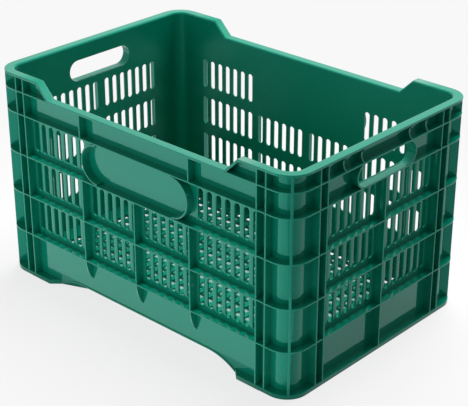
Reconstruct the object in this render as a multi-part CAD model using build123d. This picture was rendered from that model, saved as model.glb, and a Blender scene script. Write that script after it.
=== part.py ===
"""Rigid stacking harvest crate with slotted, ribbed walls. Millimetres, +Z up, base on z = 0.

The front long wall faces -Y and the right end wall faces +X.
"""
import os
from math import atan2, cos, pi, sin, sqrt, tan

from build123d import *

os.makedirs("parts", exist_ok=True)

# Overall size
length = 545.0
width = 364.0
height = 310.0

# Wall section: a thin skin with ribs and belts standing on its outside
skin = 2.4
rib_depth = 11.8
rib = 2.4
belt = 2.2
corner_rib = 3.6
corner_radius = 32.5
corner_flat_count = 3
wall = skin + rib_depth

# Belt heights, from the rim down and from the base up
rim_band = 23.4
hand_band = 33.8
skirt_height = 68.5
belt_1 = height - rim_band
belt_2 = belt_1 - hand_band
belt_5 = skirt_height
row_pitch = (belt_2 - belt_5) / 3
belt_4 = belt_5 + row_pitch
belt_3 = belt_4 + row_pitch

# Upright ribs: a pair beside every corner, then the column ribs
corner_leg_x = 43.2
corner_leg_y = 50.9
channel_x = 14.7
channel_y = 14.2
rib_b = length / 2 - corner_leg_x
rib_a = rib_b - channel_x
rib_c = width / 2 - corner_leg_y
rib_d = rib_c - channel_y
column_rib = 100.8

# Walls meet the corner posts halfway across the channel of each rib pair
seam_x = (rib_a + rib_b) / 2
seam_y = (rib_c + rib_d) / 2

# Ventilation slots
slot_width = 8.8
slot_pitch = 15.6
slot_end_land = 5.8
slot_side_land = 3.0
slot_flat_count = 3
slot_height = row_pitch - 2 * slot_end_land

# Rim flange, dipped along the long walls
lip = 3.3
rim_edge_radius = 3.0
rim_round = min(rim_edge_radius, 0.9 * lip)
raised_rim = 88.5
dip_depth = rim_band + belt / 2 - lip
dip_shoulder = length / 2 - raised_rim
dip_floor = dip_shoulder - dip_depth

# Label recess on the long walls, its ends in line with the column ribs
frame_flat_count = 5
label_set_in = 1.1
label_end = column_rib - label_set_in
label_height = row_pitch - belt

# Hand hole and short scalloped ribs on the end walls
hand_hole_length = 118.0
hand_hole_height = hand_band - belt
scallop = 5.0
scallop_from_corner = 33.0
scallop_gap = 35.0
scallop_outer = rib_d - scallop_from_corner
scallop_inner = scallop_outer - scallop_gap

# Base flange, feet and arch
base_flange = 6.0
foot_length = 102.5
foot_bevel = 13.0
foot_web_run = 39.0
foot_web_depth = 16.0
arch_rise = 14.5
arch_run = 48.0
bead_height = 2.4
bead_depth = 1.1
gusset_drop = 32.0
gusset_set_back = 0.5
gusset_bow_in = 3.2
gusset_bow_down = 18.0
foot_x = length / 2 - foot_length
arch_x = foot_x - arch_run

# Floor: long slots across the crate over a ladder of lengthwise ribs
floor_under = 20.0
floor_thickness = 2.5
floor_margin = 22.0
floor_columns = 26
floor_slot_width = 10.0
floor_rows = 21
floor_rib = 3.0
floor_rib_drop = 4.0
floor_rib_border = 6.0
grid_x = length - 2 * (wall + floor_margin)
grid_y = width - 2 * (wall + floor_margin)


def block(x0, x1, y0, y1, z0, z1):
    """Box between two corners."""
    box = Box(x1 - x0, y1 - y0, z1 - z0, align=(Align.MIN, Align.MIN, Align.MIN))
    return Pos(x0, y0, z0) * box


def skin_panel(reach, half, z0, z1):
    """Skin of a wall whose outer plane is y = -reach."""
    return block(-half, half, -reach + rib_depth, -reach + wall, z0, z1)


def upright(reach, u, z0, z1):
    """Upright rib centred on u, from the skin to the outer plane."""
    return block(u - rib / 2, u + rib / 2, -reach, -reach + rib_depth, z0, z1)


def belt_bar(reach, u0, u1, z):
    """Belt centred on height z, from the skin to the outer plane."""
    return block(u0, u1, -reach, -reach + rib_depth, z - belt / 2, z + belt / 2)


def wall_prism(reach, face, near, far):
    """Outline drawn in X and Z, solid between two depths inside the outer plane."""
    plane = Plane(origin=(0, -reach + far, 0), x_dir=(1, 0, 0), z_dir=(0, -1, 0))
    return extrude(plane * face, far - near)


def side_prism(points_face, u):
    """Outline drawn in Y and Z, one rib thick and centred on u."""
    plane = Plane(origin=(u - rib / 2, 0, 0), x_dir=(0, 1, 0), z_dir=(1, 0, 0))
    return extrude(plane * points_face, rib)


def flat_arc(x, y, radius, start, turn, flats):
    """Corner points of an arc made of equal flats that touch the true circle."""
    step = turn / (flats + 1)
    reach = radius / cos(step / 2)
    angles = [start + (k + 0.5) * step for k in range(flats + 1)]
    return [(x + reach * cos(a), y + reach * sin(a)) for a in angles]


def slot_face(across, high):
    """Upright slot with rounded ends."""
    straight = (high - across) / 2
    points = flat_arc(0, straight, across / 2, 0, pi, slot_flat_count)
    points += flat_arc(0, -straight, across / 2, pi, pi, slot_flat_count)
    return make_face(Polyline(*points, close=True))


def rounded_plan(inset):
    """Outline of the crate in plan, moved in from the outer planes."""
    radius = corner_radius - inset
    x = length / 2 - corner_radius
    y = width / 2 - corner_radius
    points = flat_arc(x, y, radius, 0, pi / 2, corner_flat_count)
    points += flat_arc(-x, y, radius, pi / 2, pi / 2, corner_flat_count)
    points += flat_arc(-x, -y, radius, pi, pi / 2, corner_flat_count)
    points += flat_arc(x, -y, radius, 3 * pi / 2, pi / 2, corner_flat_count)
    return make_face(Polyline(*points, close=True))


def slot_centres(u0, u1):
    """Slot centres between two ribs, evenly pitched and centred in the column."""
    clear = u1 - u0 - rib
    count = int((clear - slot_width - 2 * slot_side_land) / slot_pitch) + 1
    first = (u0 + u1) / 2 - (count - 1) * slot_pitch / 2
    return [first + k * slot_pitch for k in range(count)]


def cut_slots(panel, reach, places):
    """Cut one slot through the skin at every (u, z) place."""
    face = slot_face(slot_width, slot_height)
    slots = [wall_prism(reach, Pos(u, z) * face, rib_depth - 1, wall + 1) for u, z in places]
    return panel - slots


def stadium(overall, high, z):
    """Outline with rounded ends, lying along X."""
    straight = (overall - high) / 2
    points = flat_arc(straight, z, high / 2, -pi / 2, pi, frame_flat_count)
    points += flat_arc(-straight, z, high / 2, pi / 2, pi, frame_flat_count)
    return make_face(Polyline(*points, close=True))


def end_arcs(overall, high, z):
    """The two C-shaped end walls inside a stadium outline, one rib thick."""
    ring = stadium(overall, high, z) - stadium(overall - 2 * rib, high - 2 * rib, z)
    return ring - Pos(0, z) * Rectangle(overall - high, high + rib)


def dip_line(drop):
    """Rim line of a long wall from left to right, moved down into the flange by drop."""
    mitre = drop * tan(pi / 8)
    high = height - drop
    low = high - dip_depth
    left = [(-seam_x, high), (-dip_shoulder - mitre, high), (-dip_floor - mitre, low)]
    return left + [(-x, z) for x, z in reversed(left)]


def rim_profile():
    """Flange of a long wall in X and Z: raised ends, slopes and the dip."""
    return make_face(Polyline(*dip_line(0), *reversed(dip_line(lip)), close=True))


def below_rim():
    """Wall area under the dipped flange, from the second belt up."""
    bottom = belt_2 + belt / 2
    return make_face(Polyline((-seam_x, bottom), *dip_line(lip), (seam_x, bottom), close=True))


def round_inner_edge(flange):
    """Round the inner top edge of a flange along its whole wall."""
    inner_face = flange.faces().sort_by(Axis.Y)[-1]
    top_edges = []
    for edge in inner_face.edges():
        middle = edge.center()
        if flange.is_inside(Vector(middle.X, middle.Y - rib, middle.Z - lip / 2)):
            top_edges.append(edge)
    return fillet(top_edges, rim_round)


def long_grille():
    """Slotted rows of a long wall with its belts and column ribs; the label recess is left out."""
    reach = width / 2
    z0 = belt_5 - belt / 2
    z1 = belt_2 + belt / 2
    columns = [-rib_a, -column_rib, 0, column_rib, rib_a]
    places = []
    for row in (0, 1):
        z = belt_5 + (row + 0.5) * row_pitch
        for left, right in zip(columns, columns[1:]):
            places += [(u, z) for u in slot_centres(left, right)]
    z_label = belt_3 + row_pitch / 2
    for left, right in (columns[:2], columns[3:]):
        places += [(u, z_label) for u in slot_centres(left, right)]
    panel = cut_slots(skin_panel(reach, seam_x, z0, z1), reach, places)
    recess = wall_prism(reach, stadium(2 * label_end, label_height, z_label), rib_depth - 1, wall + 1)
    bars = [belt_bar(reach, -seam_x, seam_x, z) for z in (belt_5, belt_4, belt_3, belt_2)]
    bars += [upright(reach, side * rib_a, z0, z1) for side in (-1, 1)]
    bars += [upright(reach, u, z0, belt_3) for u in (-column_rib, 0, column_rib)]
    return panel - recess + bars


def label_frame():
    """Blank recessed label plate with its two rounded end walls."""
    reach = width / 2
    z = belt_3 + row_pitch / 2
    plate = wall_prism(reach, stadium(2 * label_end, label_height, z), rib_depth, wall)
    ends = wall_prism(reach, end_arcs(2 * label_end, label_height, z), 0, rib_depth)
    return plate + ends


def long_rim():
    """Top band of a long wall: blank pockets, short ribs and the dipped flange."""
    reach = width / 2
    z0 = belt_2 + belt / 2
    panel = wall_prism(reach, below_rim(), rib_depth, wall)
    flange = round_inner_edge(wall_prism(reach, rim_profile(), 0, wall))
    ribs = [upright(reach, u, z0, height - dip_depth - lip) for u in (-column_rib, column_rib)]
    ribs += [upright(reach, side * rib_a, z0, height - lip) for side in (-1, 1)]
    belts = [belt_bar(reach, dip_floor, seam_x, belt_1), belt_bar(reach, -seam_x, -dip_floor, belt_1)]
    return panel + flange + ribs + belts


def arch_opening(grow):
    """Opening between the feet in X and Z: a flat top with a tangent arc at each end, grown by grow."""
    radius = (arch_run**2 + arch_rise**2) / (2 * arch_rise)
    depth = radius - arch_rise
    reach = radius + grow
    run = sqrt(reach**2 - depth**2)
    half_turn = atan2(run, depth) / 2
    end_x = arch_x + run
    mid_x = arch_x + reach * sin(half_turn)
    mid_z = reach * cos(half_turn) - depth
    top = arch_rise + grow
    edges = [
        ThreePointArc((end_x, 0), (mid_x, mid_z), (arch_x, top)),
        Line((arch_x, top), (-arch_x, top)),
        ThreePointArc((-arch_x, top), (-mid_x, mid_z), (-end_x, 0)),
        Line((-end_x, 0), (end_x, 0)),
    ]
    return make_face(Wire(edges))


def gusset_face(reach):
    """Bracket under a column rib in Y and Z, bowed outward and running out on the skin."""
    top = belt_5 - belt / 2
    outer = -reach + gusset_set_back
    inner = -reach + rib_depth
    bottom = top - gusset_drop
    bow = (outer + gusset_bow_in, top - gusset_bow_down)
    edges = [
        ThreePointArc((outer, top), bow, (inner, bottom)),
        Line((inner, bottom), (inner, top)),
        Line((inner, top), (outer, top)),
    ]
    return make_face(Wire(edges))


def foot_flange(reach):
    """Hollow base flange under one end of a long wall, bevelled off toward the arch."""
    slant = sqrt(foot_bevel**2 + rib_depth**2) / rib_depth
    outer = -reach
    inner = -reach + rib_depth
    tip = foot_x + foot_bevel
    ledge = [(seam_x, outer), (seam_x, inner), (foot_x, inner), (tip, outer)]
    deep = rib_depth - rib
    shift = rib * slant
    pocket_tip = foot_x + shift + foot_bevel * deep / rib_depth
    pocket = [(seam_x, outer + rib), (seam_x, inner), (foot_x + shift, inner), (pocket_tip, outer + rib)]
    solid = extrude(make_face(Polyline(*ledge, close=True)), base_flange)
    return solid - extrude(make_face(Polyline(*pocket, close=True)), base_flange - belt)


def foot_web(reach):
    """End wall of a foot, running on inward from the bevel of its flange and up to the floor."""
    slant = sqrt(foot_web_run**2 + foot_web_depth**2) / foot_web_depth
    outer = -reach + rib_depth
    inner = outer + foot_web_depth
    tip = foot_x - foot_web_run
    thick = rib * slant
    plan = [(foot_x, outer), (tip, inner), (tip + thick, inner), (foot_x + thick, outer)]
    return extrude(make_face(Polyline(*plan, close=True)), floor_under)


def long_skirt():
    """Bottom band of a long wall: blank plate, brackets, beaded arch and two feet."""
    reach = width / 2
    top = belt_5 - belt / 2
    opening = arch_opening(0)
    plate = wall_prism(reach, Pos(0, top / 2) * Rectangle(2 * seam_x, top) - opening, rib_depth, wall)
    bead = wall_prism(reach, arch_opening(bead_height) - opening, rib_depth - bead_depth, rib_depth)
    ribs = [upright(reach, side * rib_a, base_flange, top) for side in (-1, 1)]
    brackets = [side_prism(gusset_face(reach), u) for u in (-column_rib, 0, column_rib)]
    foot = foot_flange(reach) + foot_web(reach)
    return plate + bead + ribs + brackets + foot + mirror(foot, about=Plane.YZ)


def end_grille():
    """Slotted rows of an end wall with its belts and ribs."""
    reach = length / 2
    z0 = belt_5 - belt / 2
    z1 = belt_2 + belt / 2
    columns = [-rib_d, 0, rib_d]
    places = []
    for row in (0, 1, 2):
        z = belt_5 + (row + 0.5) * row_pitch
        for left, right in zip(columns, columns[1:]):
            places += [(u, z) for u in slot_centres(left, right)]
    panel = cut_slots(skin_panel(reach, seam_y, z0, z1), reach, places)
    bars = [belt_bar(reach, -seam_y, seam_y, z) for z in (belt_5, belt_4, belt_3, belt_2)]
    bars += [upright(reach, u, z0, z1) for u in columns]
    return panel + bars


def hand_hole_panel():
    """Band of an end wall around the hand hole, under the first belt."""
    reach = length / 2
    z0 = belt_2 + belt / 2
    z1 = belt_1 + belt / 2
    z = (belt_1 + belt_2) / 2
    hole = wall_prism(reach, stadium(hand_hole_length, hand_hole_height, z), -1, wall + 1)
    frame = end_arcs(hand_hole_length + 2 * rib, hand_hole_height + 2 * rib, z)
    band = Pos(0, z) * Rectangle(2 * seam_y, hand_hole_height)
    ends = wall_prism(reach, frame & band, 0, rib_depth)
    bars = [belt_bar(reach, -seam_y, seam_y, belt_1)]
    bars += [upright(reach, side * rib_d, z0, z1) for side in (-1, 1)]
    return skin_panel(reach, seam_y, z0, z1) - hole + ends + bars


def scallop_face(reach):
    """Short rib under the end rim in Y and Z, hollowed on its outer edge."""
    z0 = belt_1 + belt / 2
    z1 = height - lip
    outer = -reach
    inner = -reach + rib_depth
    edges = [
        ThreePointArc((outer, z0), (outer + scallop, (z0 + z1) / 2), (outer, z1)),
        Line((outer, z1), (inner, z1)),
        Line((inner, z1), (inner, z0)),
        Line((inner, z0), (outer, z0)),
    ]
    return make_face(Wire(edges))


def end_rim():
    """Rim of an end wall: full-height flange over short scalloped ribs."""
    reach = length / 2
    z0 = belt_1 + belt / 2
    panel = skin_panel(reach, seam_y, z0, height - lip)
    flange = round_inner_edge(block(-seam_y, seam_y, -reach, -reach + wall, height - lip, height))
    ribs = [upright(reach, side * rib_d, z0, height - lip) for side in (-1, 1)]
    places = (-scallop_outer, -scallop_inner, scallop_inner, scallop_outer)
    ribs += [side_prism(scallop_face(reach), u) for u in places]
    return panel + flange + ribs


def end_skirt():
    """Bottom band of an end wall: two blank plates, a middle rib and the hollow base flange."""
    reach = length / 2
    top = belt_5 - belt / 2
    ledge = block(-seam_y, seam_y, -reach, -reach + rib_depth, base_flange - belt, base_flange)
    face = block(-seam_y, seam_y, -reach, -reach + rib, 0, base_flange - belt)
    ribs = [upright(reach, u, base_flange, top) for u in (-rib_d, 0, rib_d)]
    return skin_panel(reach, seam_y, 0, top) + ledge + face + ribs


def corner_post():
    """Front right corner, full height, with its belts, three ribs, rim and base flange."""
    window = Pos((seam_x + length / 2) / 2, -(seam_y + width / 2) / 2)
    window = window * Rectangle(length / 2 - seam_x, width / 2 - seam_y)
    outer = rounded_plan(0)
    skin_plan = (rounded_plan(rib_depth) - rounded_plan(wall)) & window
    belt_plan = (outer - rounded_plan(rib_depth)) & window
    rim_plan = (outer - rounded_plan(wall)) & window
    edge_plan = (outer - rounded_plan(rib)) & window
    long_rib = Pos(rib_b, -width / 2 + rib_depth / 2) * Rectangle(rib, rib_depth)
    end_rib = Pos(length / 2 - rib_depth / 2, -rib_c) * Rectangle(rib_depth, rib)
    centre = Pos(length / 2 - corner_radius, -width / 2 + corner_radius)
    middle_rib = (centre * Rot(0, 0, -45) * Rectangle(2 * corner_radius, corner_rib)) & belt_plan
    post = extrude(skin_plan, height - lip)
    for plan in (long_rib, end_rib, middle_rib):
        post += Pos(0, 0, base_flange) * extrude(plan, height - lip - base_flange)
    for z in (belt_1, belt_2, belt_3, belt_4, belt_5):
        post += Pos(0, 0, z - belt / 2) * extrude(belt_plan, belt)
    post += Pos(0, 0, base_flange - belt) * extrude(belt_plan, belt)
    post += extrude(edge_plan, base_flange - belt)
    return post + corner_rim(rim_plan)


def corner_rim(plan):
    """Rim flange round a corner, its inner top edge rounded."""
    rim = Pos(0, 0, height - lip) * extrude(plan, lip)
    inner_edges = []
    for edge in rim.faces().sort_by(Axis.Z)[-1].edges():
        middle = edge.center()
        outward = Vector(middle.X + rib, middle.Y - rib, height - lip / 2)
        inward = Vector(middle.X - rib, middle.Y + rib, height - lip / 2)
        if rim.is_inside(outward) and not rim.is_inside(inward):
            inner_edges.append(edge)
    return fillet(inner_edges, rim_round)


def floor_grid():
    """Floor plate inside the walls, with long slots running across the crate."""
    pitch = grid_x / floor_columns
    slot = Rectangle(floor_slot_width, grid_y)
    slots = [Pos((k - (floor_columns - 1) / 2) * pitch, 0) * slot for k in range(floor_columns)]
    return Pos(0, 0, floor_under) * extrude(rounded_plan(wall) - slots, floor_thickness)


def floor_ribs():
    """Ladder of ribs under the floor plate, running along the crate between two end bars."""
    pitch = grid_y / floor_rows
    frame = Rectangle(grid_x + 2 * floor_rib_border, grid_y + 2 * floor_rib_border)
    window = Rectangle(grid_x, pitch - floor_rib)
    windows = [Pos(0, (k - (floor_rows - 1) / 2) * pitch) * window for k in range(floor_rows)]
    return Pos(0, 0, floor_under - floor_rib_drop) * extrude(frame - windows, floor_rib_drop)


def save(shape, node):
    """Write one node."""
    export_step(shape, f"parts/{node}.step")


# Long walls: the front as built, the back turned half round
long_wall = {
    "grille": long_grille(),
    "label_frame": label_frame(),
    "rim": long_rim(),
    "skirt": long_skirt(),
}
for name, piece in long_wall.items():
    save(piece, f"front_{name}")
    save(Rot(0, 0, 180) * piece, f"back_{name}")

# End walls: turned a quarter to face +X and -X
end_wall = {
    "grille": end_grille(),
    "hand_hole_panel": hand_hole_panel(),
    "rim": end_rim(),
    "skirt": end_skirt(),
}
for name, piece in end_wall.items():
    save(Rot(0, 0, 90) * piece, f"right_{name}")
    save(Rot(0, 0, -90) * piece, f"left_{name}")

# Corner posts: mirrored about the two middle planes
post = corner_post()
save(post, "front_right_post")
save(mirror(post, about=Plane.YZ), "front_left_post")
save(mirror(post, about=Plane.XZ), "back_right_post")
save(Rot(0, 0, 180) * post, "back_left_post")

save(floor_grid(), "floor_grid")
save(floor_ribs(), "floor_ribs")
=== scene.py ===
"""Slotted plastic harvest crate, dressed over its measured frame. Metres, +Z up, base on z = 0."""
from math import atan2, copysign, cos, pi, radians, sin, sqrt, tan

import bmesh
import bpy
from bpy.props import FloatProperty, FloatVectorProperty, IntProperty, PointerProperty
from mathutils import Matrix, Vector


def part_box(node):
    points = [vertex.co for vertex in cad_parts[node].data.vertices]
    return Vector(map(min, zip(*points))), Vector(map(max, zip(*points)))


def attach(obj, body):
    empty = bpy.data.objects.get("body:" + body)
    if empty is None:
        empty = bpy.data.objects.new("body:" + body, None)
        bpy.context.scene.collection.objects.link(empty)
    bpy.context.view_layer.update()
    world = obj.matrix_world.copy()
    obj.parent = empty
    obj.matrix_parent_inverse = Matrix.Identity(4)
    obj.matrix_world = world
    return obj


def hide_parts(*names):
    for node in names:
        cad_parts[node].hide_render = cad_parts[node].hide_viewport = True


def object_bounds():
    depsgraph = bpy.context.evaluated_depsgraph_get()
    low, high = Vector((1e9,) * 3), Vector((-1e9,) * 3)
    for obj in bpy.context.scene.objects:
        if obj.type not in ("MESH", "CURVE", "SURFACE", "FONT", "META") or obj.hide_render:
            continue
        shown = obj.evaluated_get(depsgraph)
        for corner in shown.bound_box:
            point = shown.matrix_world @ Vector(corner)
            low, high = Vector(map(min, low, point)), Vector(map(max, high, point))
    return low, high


bl_info = {
    "name": "Harvest crate",
    "version": (1, 0, 0),
    "blender": (4, 5, 0),
    "location": "View3D > Sidebar > Crate",
    "description": "Dresses the measured frame of a slotted plastic harvest crate",
    "category": "Add Mesh",
}

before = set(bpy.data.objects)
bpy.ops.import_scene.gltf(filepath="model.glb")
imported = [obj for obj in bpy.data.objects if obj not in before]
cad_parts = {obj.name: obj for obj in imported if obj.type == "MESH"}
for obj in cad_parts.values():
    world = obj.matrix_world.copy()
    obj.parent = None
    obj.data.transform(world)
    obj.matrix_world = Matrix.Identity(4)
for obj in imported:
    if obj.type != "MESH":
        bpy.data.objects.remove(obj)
cad_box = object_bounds()
grille_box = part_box("front_grille")
end_grille_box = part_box("right_grille")
hand_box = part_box("right_hand_hole_panel")

# Nodes of the four walls, each with the quarter turns that take the front wall to it
LONG_WALLS = (("front", 0), ("back", 2))
END_WALLS = (("right", 1), ("left", 3))
TINY = 1e-6


def size(name, default, description):
    """Length property in metres."""
    return FloatProperty(
        name=name, default=default, description=description, unit="LENGTH", min=0.0, precision=5)


class CrateSizes(bpy.types.PropertyGroup):
    """Sizes of the moulding that the frame's boxes don't give."""
    skin: size("Skin", 0.0024, "Thickness of the wall skin")
    rib_depth: size("Rib depth", 0.0118, "How far ribs and belts stand out from the skin")
    rib: size("Rib", 0.0024, "Thickness of an upright rib")
    belt: size("Belt", 0.0022, "Thickness of a horizontal belt")
    corner_rib: size("Corner rib", 0.0036, "Thickness of the rib in the middle of a corner")
    corner_radius: size("Corner radius", 0.0325, "Outer radius of the corners in plan")
    edge: size("Edge round", 0.0006, "Rounding of outer edges")
    corner_leg_x: size("Corner leg, long", 0.0432, "Long wall from the end to the first rib")
    corner_leg_y: size("Corner leg, end", 0.0509, "End wall from the side to the first rib")
    channel_x: size("Channel, long", 0.0147, "Gap of a rib pair on the long wall")
    channel_y: size("Channel, end", 0.0142, "Gap of a rib pair on the end wall")
    column_rib: size("Column rib", 0.1008, "Long wall's middle to its column ribs")
    slot_width: size("Slot width", 0.0088, "Width of a ventilation slot")
    slot_pitch: size("Slot pitch", 0.0156, "Distance between slots")
    slot_top_land: size("Slot top land", 0.0093, "Slot's top end to the belt above's middle")
    slot_bottom_land: size("Slot bottom land", 0.0078, "Slot's bottom end to the belt below's middle")
    slot_side_land: size("Slot side land", 0.0030, "Least skin between a slot and a rib")
    lip: size("Rim lip", 0.0033, "Thickness of the rim flange")
    rim_round: size("Rim round", 0.0029, "Rounding of the rim's inner top edge")
    raised_rim: size("Raised rim", 0.0885, "Length of the raised rim at each end of a long wall")
    label_set_in: size("Label set-in", 0.0011, "Label recess inside the line of the column ribs")
    hand_hole: size("Hand hole", 0.118, "Length of the hand hole")
    scallop: size("Scallop", 0.005, "Hollow of the short ribs under the end rim")
    scallop_from_corner: size("Scallop start", 0.033, "End rib to the first short rib")
    scallop_gap: size("Scallop gap", 0.035, "Distance between the short ribs of a pair")
    base_flange: size("Base flange", 0.006, "Height of the base flange")
    foot_length: size("Foot", 0.1025, "Length of a foot along the long wall")
    foot_bevel: size("Foot bevel", 0.013, "Slant of the foot's inner end")
    foot_web_run: size("Foot wall run", 0.039, "Length of a foot's end wall along the crate")
    foot_web_depth: size("Foot wall depth", 0.016, "Reach of a foot's end wall into the crate")
    arch_rise: size("Arch rise", 0.0145, "Height of the arch between the feet")
    arch_run: size("Arch run", 0.048, "Length of the arch's curved ends")
    bead_height: size("Bead height", 0.0024, "Height of the bead over the arch")
    bead_depth: size("Bead depth", 0.0011, "How far the bead stands out")
    bracket_drop: size("Bracket drop", 0.032, "Height of the brackets under the lowest belt")
    bracket_set_back: size("Bracket set-back", 0.0005, "Bracket's top behind the outer plane")
    bracket_bow_in: size("Bracket bow in", 0.0032, "Depth of the bracket's bow")
    bracket_bow_down: size("Bracket bow down", 0.018, "Drop of the bracket's bow")
    floor_under: size("Floor underside", 0.020, "Height of the floor's underside")
    floor_thickness: size("Floor thickness", 0.0025, "Thickness of the floor")
    floor_margin: size("Floor margin", 0.022, "Wall to the field of floor openings")
    floor_slot: size("Floor slot", 0.010, "Width of a slot across the floor")
    floor_rib: size("Floor rib", 0.003, "Thickness of a rib under the floor")
    floor_rib_drop: size("Floor rib depth", 0.004, "Depth of the ribs under the floor")
    floor_rib_border: size("Floor rib border", 0.006, "Width of the bars round the floor ribs")
    floor_columns: IntProperty(
        name="Floor columns", default=26, min=2, description="Floor slots along the crate")
    floor_rows: IntProperty(
        name="Floor rows", default=21, min=1, description="Openings across the crate")


class CrateFinish(bpy.types.PropertyGroup):
    """Colour and surface of the moulded plastic."""
    deep: FloatVectorProperty(
        name="Deep green", subtype="COLOR", size=3, min=0, max=1, default=(0.0006, 0.222, 0.142),
        description="Main colour of the plastic")
    pale: FloatVectorProperty(
        name="Pale green", subtype="COLOR", size=3, min=0, max=1, default=(0.0016, 0.248, 0.160),
        description="Lighter flow marks in the plastic")
    gloss: FloatProperty(
        name="Roughness", subtype="FACTOR", default=0.05, min=0, max=1,
        description="Roughness of the polished outer faces")
    satin: FloatProperty(
        name="Inner roughness", subtype="FACTOR", default=0.30, min=0, max=1,
        description="Roughness of the satin inner faces")
    haze: FloatProperty(
        name="Haze", subtype="FACTOR", default=0.06, min=0, max=1,
        description="Roughness that hazy patches and rub marks add")


class StudioSettings(bpy.types.PropertyGroup):
    """Camera, floor and light."""
    eye: FloatVectorProperty(
        name="Camera", subtype="TRANSLATION", unit="LENGTH", size=3,
        default=(1.19282, -1.27920, 0.98306),
        description="Where the camera stands")
    pitch: FloatProperty(
        name="Pitch", subtype="ANGLE", default=radians(63.876),
        description="Camera tilt from straight down")
    yaw: FloatProperty(
        name="Yaw", subtype="ANGLE", default=radians(42.733),
        description="Camera turn about the upright")
    lens: FloatProperty(
        name="Lens", default=106.161, min=1, description="Focal length in millimetres on a 36 mm sensor")
    white: FloatVectorProperty(
        name="Background", subtype="COLOR", size=3, min=0, max=1, default=(0.938, 0.938, 0.938),
        description="Floor and background as the camera sees them")
    floor: FloatVectorProperty(
        name="Floor", subtype="COLOR", size=3, min=0, max=1, default=(0.32, 0.32, 0.32),
        description="Floor's colour for the light that it throws back at the crate")
    ambient: FloatProperty(
        name="Ambient", default=0.20, min=0, description="World light on diffuse surfaces")
    shadow: FloatProperty(
        name="Shadow", subtype="FACTOR", default=0.17, min=0, max=1,
        description="Strength of the shadow on the floor")
    # Painted shade: how bright the ground is painted under the crate
    under: FloatProperty(
        name="Under", subtype="FACTOR", default=0.5, min=0, max=1,
        description="Brightness of the ground under the crate")
    # Painted glow: green emission painted on the ground under the crate, standing in for the light that
    # the plastic throws there
    painted_glow: FloatVectorProperty(
        name="Glow", subtype="COLOR", size=3, min=0, max=1, default=(0.42, 0.90, 0.77),
        description="Ground under the crate, in the light that the green plastic throws on it")
    top: FloatProperty(
        name="Top", subtype="POWER", unit="POWER", default=114.0, min=0,
        description="Soft light above and behind")
    key: FloatProperty(
        name="Key", subtype="POWER", unit="POWER", default=14.0, min=0,
        description="Soft light at the front left")
    card: FloatProperty(
        name="Card", subtype="POWER", unit="POWER", default=2.7, min=0,
        description="Light card on the floor in front")


class Layout:
    """Places worked out from the frame's boxes and the crate's sizes, in metres."""

    def __init__(self, sizes):
        low, high = cad_box
        self.half_length = (high.x - low.x) / 2
        self.half_width = (high.y - low.y) / 2
        self.height = high.z
        self.wall = sizes.skin + sizes.rib_depth
        self.seam_x = grille_box[1].x
        self.seam_y = end_grille_box[1].y
        self.bottom = grille_box[0].z
        self.top = grille_box[1].z
        self.belt_1 = hand_box[1].z - sizes.belt / 2
        self.belt_2 = self.top - sizes.belt / 2
        self.belt_5 = self.bottom + sizes.belt / 2
        self.row = (self.belt_2 - self.belt_5) / 3
        self.belt_4 = self.belt_5 + self.row
        self.belt_3 = self.belt_4 + self.row
        self.rib_b = self.half_length - sizes.corner_leg_x
        self.rib_a = self.rib_b - sizes.channel_x
        self.rib_c = self.half_width - sizes.corner_leg_y
        self.rib_d = self.rib_c - sizes.channel_y
        self.slot_height = self.row - sizes.slot_top_land - sizes.slot_bottom_land
        self.slot_rise = sizes.slot_bottom_land + self.slot_height / 2
        self.label_end = sizes.column_rib - sizes.label_set_in
        self.label_height = self.row - sizes.belt
        self.label_z = self.belt_3 + self.row / 2
        self.dip_depth = self.height - self.belt_1 + sizes.belt / 2 - sizes.lip
        self.dip_shoulder = self.half_length - sizes.raised_rim
        self.dip_floor = self.dip_shoulder - self.dip_depth
        self.foot_x = self.half_length - sizes.foot_length
        self.arch_x = self.foot_x - sizes.arch_run
        self.floor_x = self.half_length - self.wall
        self.floor_y = self.half_width - self.wall
        self.grid_x = self.floor_x - sizes.floor_margin
        self.grid_y = self.floor_y - sizes.floor_margin


def wall_space(reach, quarter):
    """Wall space, with X along the wall, Y up and Z outward, turned into the crate's frame."""
    upright = Matrix.Rotation(pi / 2, 4, "X")
    return Matrix.Rotation(quarter * pi / 2, 4, "Z") @ Matrix.Translation((0, -reach, 0)) @ upright


def verts_of(geometry):
    """Vertices among an operator's results."""
    return [item for item in geometry if isinstance(item, bmesh.types.BMVert)]


def soften(bm, edges, radius, segments=2):
    """Round the given edges."""
    bmesh.ops.bevel(
        bm, geom=edges, offset=radius, offset_type="OFFSET", segments=segments, profile=0.5,
        affect="EDGES", clamp_overlap=True, material=-1)


def round_points(bm, verts, radius, segments=2):
    """Round corner points of a flat section and return the section's new face."""
    made = bmesh.ops.bevel(
        bm, geom=verts, offset=radius, offset_type="OFFSET", segments=segments, profile=0.5,
        affect="VERTICES", clamp_overlap=True, material=-1)
    return made["verts"][0].link_faces[0]


def add_face(bm, points):
    """Flat face through the given points."""
    return bm.faces.new([bm.verts.new(point) for point in points])


def pull(bm, face, shift):
    """Pull a face along a vector and return the moved face."""
    grown = bmesh.ops.extrude_face_region(bm, geom=[face, *face.edges, *face.verts])["geom"]
    bmesh.ops.translate(bm, vec=shift, verts=verts_of(grown))
    return next(item for item in grown if isinstance(item, bmesh.types.BMFace))


def turn(bm, face, centre, axis, angle, steps):
    """Take a face round an axis and return the moved face."""
    geometry = [face, *face.edges, *face.verts]
    made = bmesh.ops.spin(bm, geom=geometry, cent=centre, axis=axis, angle=angle, steps=steps)
    return next(item for item in made["geom_last"] if isinstance(item, bmesh.types.BMFace))


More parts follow.
